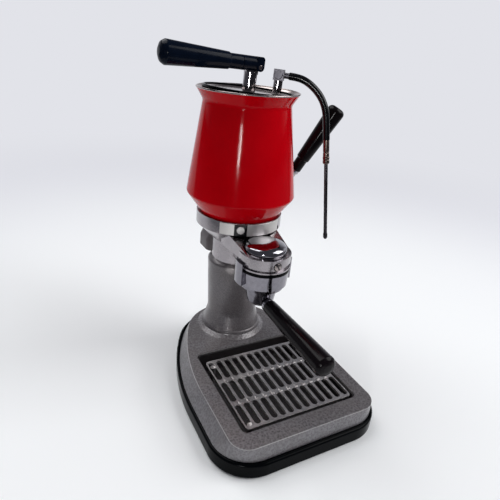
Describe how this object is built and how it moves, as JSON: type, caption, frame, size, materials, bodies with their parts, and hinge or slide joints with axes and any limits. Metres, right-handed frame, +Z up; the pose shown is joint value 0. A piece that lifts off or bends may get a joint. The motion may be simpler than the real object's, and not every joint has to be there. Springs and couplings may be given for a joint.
{
  "type": "lever espresso machine",
  "caption": "A small lever espresso machine: red tapered pot on a polished head and painted column, long oval base with a drip grate, black handles.",
  "frame": {"origin": "on the table under the middle of the base", "axes": "+Z up, +X to the machine's right seen from the front, -Y to the front, where the portafilter points"},
  "size_m": [0.2212, 0.2636, 0.3647],
  "materials": {
    "black_rubber": "semi-gloss",
    "base_paint": "speckled hammered gloss",
    "polished_aluminium": "polished",
    "chrome": "polished",
    "bright_steel": "satin",
    "satin_plate": "satin",
    "black_enamel": "gloss",
    "grey_plastic": "matte",
    "brass": "satin",
    "red_enamel": "gloss",
    "dark_tray": "satin",
    "black_plastic": "gloss",
    "black_hose": "satin"
  },
  "bodies": {
    "frame_body": {"rubber_boot": "black_rubber", "base_casting": "base_paint", "base_plate": "bright_steel", "base_screws": "bright_steel", "column": "base_paint", "tie_rod": "bright_steel", "tie_nut": "bright_steel", "head_casting": "polished_aluminium", "dome_cap": "chrome", "ring_screw": "bright_steel", "collar_plate": "satin_plate", "badge_square": "black_enamel", "inlet_housing": "grey_plastic", "inlet_pins": "brass", "inlet_screws": "bright_steel", "pot_shell": "red_enamel", "rim_trim": "bright_steel", "pot_gasket": "black_rubber", "heating_element": "bright_steel", "thermostat": "brass", "shaft_bushes": "brass", "return_spring": "bright_steel", "group_seal": "black_rubber", "shower_screen": "bright_steel"},
    "tray": {"drip_tray": "dark_tray"},
    "grate": {"drip_grate": "base_paint"},
    "lid": {"lid_plate": "bright_steel", "lid_seal": "black_rubber", "lid_post": "bright_steel", "steam_post": "bright_steel"},
    "lid_lever": {"lid_fork": "black_plastic", "lid_pin": "bright_steel", "lid_handle": "black_plastic"},
    "steam_swivel": {"swivel_block": "chrome", "swivel_bolt": "bright_steel", "steam_hose": "black_hose", "hose_coupling": "chrome", "steam_wand": "chrome", "wand_tip": "chrome"},
    "main_lever": {"lever_shaft": "bright_steel", "lever_arm": "bright_steel", "lever_ferrule": "chrome", "lever_handle": "black_plastic", "hub_nut": "bright_steel"},
    "piston_group": {"piston": "brass", "piston_seal": "black_rubber", "piston_yoke": "bright_steel"},
    "portafilter": {"portafilter_body": "chrome", "handle_collar": "chrome", "portafilter_handle": "black_plastic", "spout": "chrome", "filter_basket": "bright_steel"}
  },
  "joints": [
    {"name": "tray_lift", "type": "slide", "parent": "frame_body", "child": "tray", "axis": [0, 0, 1], "range_m": [0, 0.03]},
    {"name": "grate_lift", "type": "slide", "parent": "tray", "child": "grate", "axis": [0, 0, 1], "range_m": [0, 0.025]},
    {"name": "lid_lift", "type": "slide", "parent": "frame_body", "child": "lid", "axis": [0, 0, 1], "range_m": [0, 0.06]},
    {"name": "lid_lever_hinge", "type": "hinge", "parent": "lid", "child": "lid_lever", "pos_m": [0.00831, 0.073, 0.3451], "axis": [0, 1, 0], "range_deg": [0, 90]},
    {"name": "steam_swivel_hinge", "type": "hinge", "parent": "lid", "child": "steam_swivel", "pos_m": [0.03531, 0.073, 0.33878], "axis": [0.0523, 0, 0.9986], "range_deg": [-35, 10]},
    {"name": "main_lever_hinge", "type": "hinge", "parent": "frame_body", "child": "main_lever", "pos_m": [0, 0.005, 0.168], "axis": [0.4571, 0.8894, 0], "range_deg": [0, 95], "stiffness_Nm_per_rad": 0.06, "springref_deg": -57.3},
    {"name": "piston_slide", "type": "slide", "parent": "frame_body", "child": "piston_group", "axis": [0, 0, -1], "range_m": [0, 0.00738]},
    {"name": "portafilter_turn", "type": "hinge", "parent": "frame_body", "child": "portafilter", "pos_m": [0, 0.005, 0.14], "axis": [0, 0, 1], "range_deg": [-40, 0]}
  ],
  "couplings": [
    {"joint": "piston_slide", "follows": "main_lever_hinge", "m_per_rad": 0.0044466}
  ]
}
